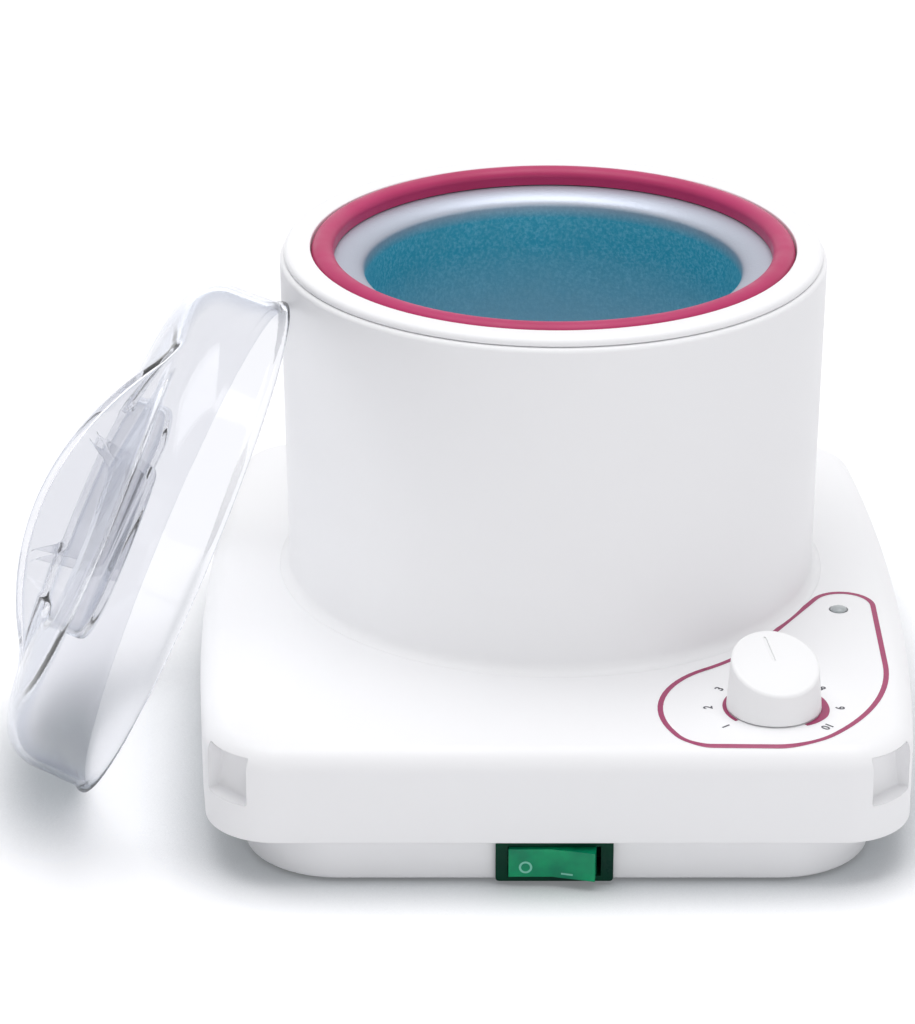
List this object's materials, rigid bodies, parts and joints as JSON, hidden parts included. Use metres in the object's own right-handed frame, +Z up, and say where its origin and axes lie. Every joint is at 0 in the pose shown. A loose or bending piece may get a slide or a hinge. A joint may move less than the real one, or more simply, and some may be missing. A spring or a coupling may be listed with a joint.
{
  "type": "wax warmer",
  "caption": "Electric wax warmer: round heated well in a moulded housing with a dial, rocker switch and lamp, and a clear dome lid taken off and leaning on its side.",
  "frame": {"origin": "on the barrel's axis, at the flat underside of the bottom tray; the feet reach 1 mm below it", "axes": "+Z up out of the well, -Y towards the front with the dial and switch, +X to the right of a person who faces the front"},
  "size_m": [0.2621, 0.2292, 0.1444],
  "materials": {
    "housing_plastic": "glossy white",
    "trim_plastic": "satin magenta",
    "well_coating": "grainy teal non-stick coating",
    "knob_plastic": "satin white",
    "clear_plastic": "clear, moulded, polished",
    "lamp_lens": "smoky grey, unlit",
    "switch_frame": "dark green",
    "switch_rocker": "translucent green",
    "black_plastic": "matt black",
    "ivory_plastic": "matt ivory",
    "foot_rubber": "matt",
    "steel": "zinc plated",
    "copper": "bright copper",
    "heater_mica": "mica sheet on a steel strip",
    "felt": "needled felt"
  },
  "bodies": {
    "warmer": {"upper_housing": "housing_plastic", "housing_barrel": "housing_plastic", "bottom_tray": "housing_plastic", "top_cap": "housing_plastic", "trim_ring": "trim_plastic", "heating_well": "well_coating", "heater_band": "heater_mica", "insulation_sleeve": "felt", "sensor_bulb": "copper", "clamp_bolt_1": "steel", "clamp_nut_1": "steel", "clamp_bolt_2": "steel", "clamp_nut_2": "steel", "well_bridge": "steel", "well_nut": "steel", "thermal_cutout": "steel", "bridge_screw_1": "steel", "bridge_screw_2": "steel", "case_screw_1": "steel", "case_screw_2": "steel", "case_screw_3": "steel", "case_screw_4": "steel", "foot_1": "foot_rubber", "foot_2": "foot_rubber", "foot_3": "foot_rubber", "foot_4": "foot_rubber", "cord_gland": "black_plastic", "gland_nut": "black_plastic", "terminal_block": "ivory_plastic", "thermostat_body": "black_plastic", "thermostat_nut": "steel", "indicator_lens": "lamp_lens", "lamp_holder": "black_plastic", "switch_housing": "switch_frame", "switch_terminal_1": "copper", "switch_terminal_2": "copper", "switch_terminal_3": "copper"},
    "dial": {"knob": "knob_plastic", "thermostat_shaft": "steel"},
    "rocker": {"switch_rocker": "switch_rocker"},
    "lid": {"lid": "clear_plastic"}
  },
  "joints": [
    {"name": "dial_turn", "type": "hinge", "parent": "warmer", "child": "dial", "pos_m": [0.0603, -0.1005, 0.0409], "axis": [0, 0, -1], "range_deg": [-120, 150]},
    {"name": "rocker_tilt", "type": "hinge", "parent": "warmer", "child": "rocker", "pos_m": [-0.0012, -0.1227, 0.0065], "axis": [0, 0, 1], "range_deg": [0, 14]},
    {"name": "lid_lift", "type": "slide", "parent": "warmer", "child": "lid", "axis": [-0.3, 0, 0.9539], "range_m": [0, 0.12]}
  ]
}
